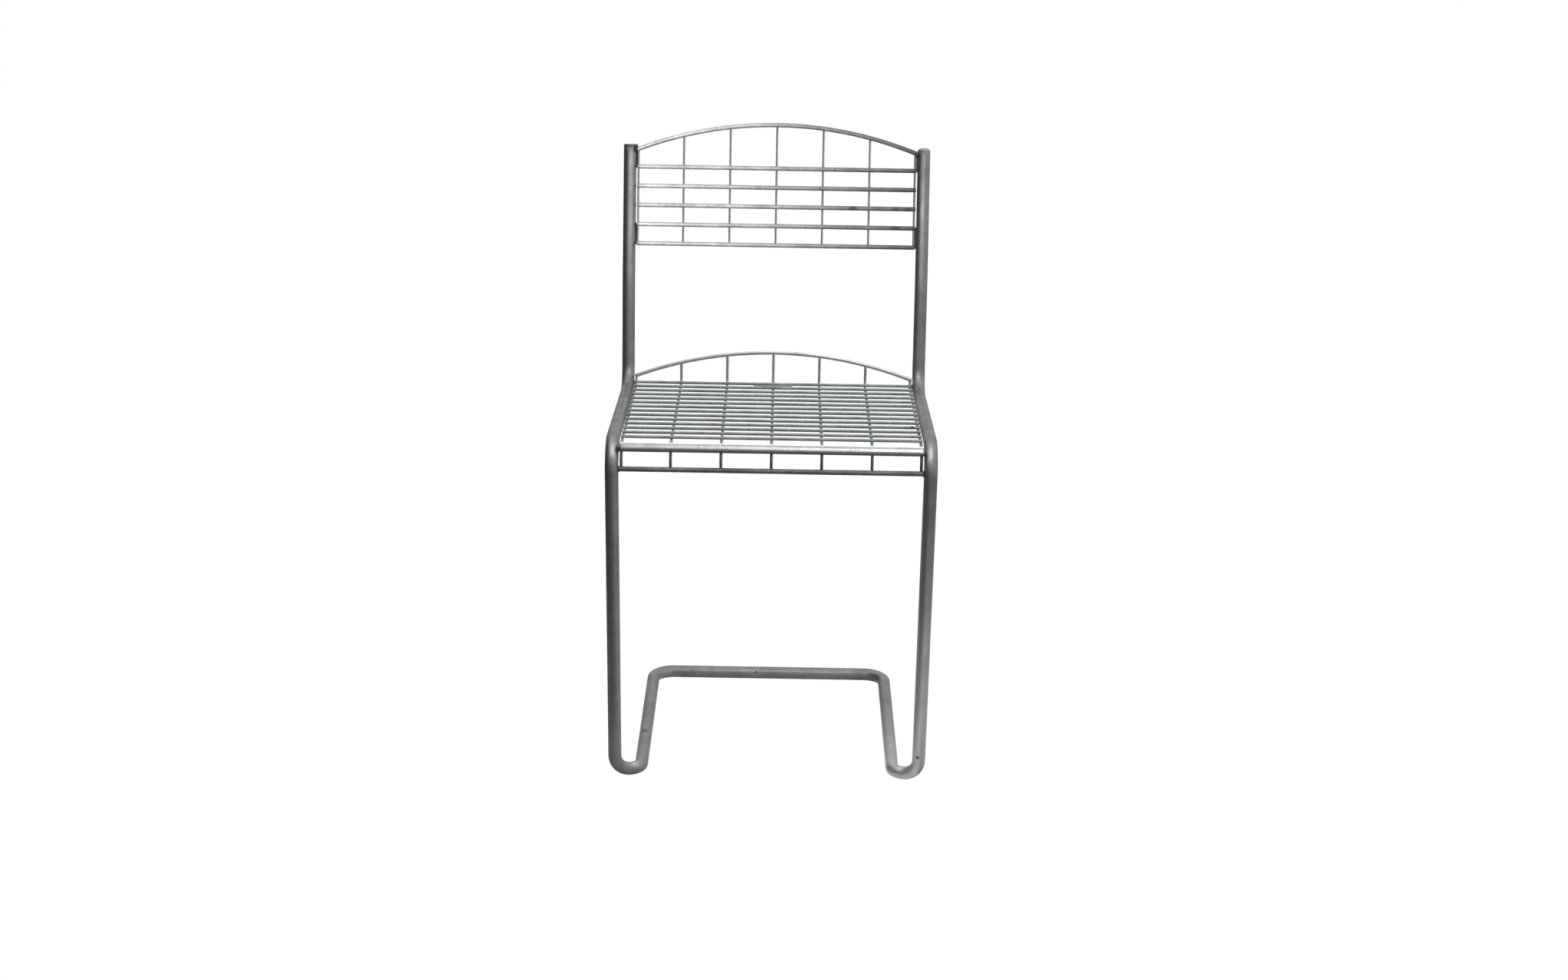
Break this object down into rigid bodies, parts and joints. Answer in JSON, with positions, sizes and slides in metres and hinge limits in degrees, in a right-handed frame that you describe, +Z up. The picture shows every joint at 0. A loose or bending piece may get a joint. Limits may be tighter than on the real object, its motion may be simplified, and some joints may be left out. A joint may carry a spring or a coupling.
{
  "type": "stacking chair",
  "caption": "Outdoor stacking chair: one bent galvanised steel tube carries a welded wire seat and a welded wire back on a cantilever floor loop.",
  "frame": {"origin": "on the floor, at the middle of the chair's outline seen from above", "axes": "+X across the seat towards the sitter's left hand, +Y to the back of the chair, +Z up; a sitter faces -Y"},
  "size_m": [0.4174, 0.4404, 0.8148],
  "materials": {
    "galvanised_tube": "hot-dip galvanised, dull with a faint spangle",
    "galvanised_wire": "hot-dip galvanised, satin",
    "galvanised_rod": "hot-dip galvanised, satin, worn bright on top",
    "galvanised_plate": "hot-dip galvanised, dull",
    "weld_steel": "weld, galvanised over, rough and dull"
  },
  "bodies": {
    "root": {"frame_tube": "galvanised_tube", "left_end_cap": "galvanised_tube", "right_end_cap": "galvanised_tube", "back_arch_wire": "galvanised_wire", "back_bottom_wire": "galvanised_wire", "back_cross_wire_1": "galvanised_wire", "back_cross_wire_2": "galvanised_wire", "back_cross_wire_3": "galvanised_wire", "back_cross_wire_4": "galvanised_wire", "back_upright_wire_1": "galvanised_wire", "back_upright_wire_2": "galvanised_wire", "back_upright_wire_3": "galvanised_wire", "back_upright_wire_4": "galvanised_wire", "back_upright_wire_5": "galvanised_wire", "back_upright_wire_6": "galvanised_wire", "back_upright_wire_7": "galvanised_wire", "back_weld_rod_upper_left": "weld_steel", "back_weld_rod_upper_right": "weld_steel", "back_weld_rod_lower_left": "weld_steel", "back_weld_rod_lower_right": "weld_steel", "seat_arch_wire": "galvanised_wire", "seat_front_rod": "galvanised_rod", "seat_apron_wire": "galvanised_wire", "seat_cross_wire_1": "galvanised_wire", "seat_cross_wire_2": "galvanised_wire", "seat_cross_wire_3": "galvanised_wire", "seat_cross_wire_4": "galvanised_wire", "seat_cross_wire_5": "galvanised_wire", "seat_cross_wire_6": "galvanised_wire", "seat_cross_wire_7": "galvanised_wire", "seat_cross_wire_8": "galvanised_wire", "seat_cross_wire_9": "galvanised_wire", "seat_cross_wire_10": "galvanised_wire", "seat_cross_wire_11": "galvanised_wire", "seat_cross_wire_12": "galvanised_wire", "seat_cross_wire_13": "galvanised_wire", "seat_cross_wire_14": "galvanised_wire", "seat_long_wire_1": "galvanised_wire", "seat_long_wire_2": "galvanised_wire", "seat_long_wire_3": "galvanised_wire", "seat_long_wire_4": "galvanised_wire", "seat_long_wire_5": "galvanised_wire", "seat_long_wire_6": "galvanised_wire", "seat_long_wire_7": "galvanised_wire", "seat_weld_pin_front_left": "weld_steel", "seat_weld_pin_front_right": "weld_steel", "seat_weld_pin_rear_left": "weld_steel", "seat_weld_pin_rear_right": "weld_steel", "name_plate": "galvanised_plate"}
  },
  "joints": []
}
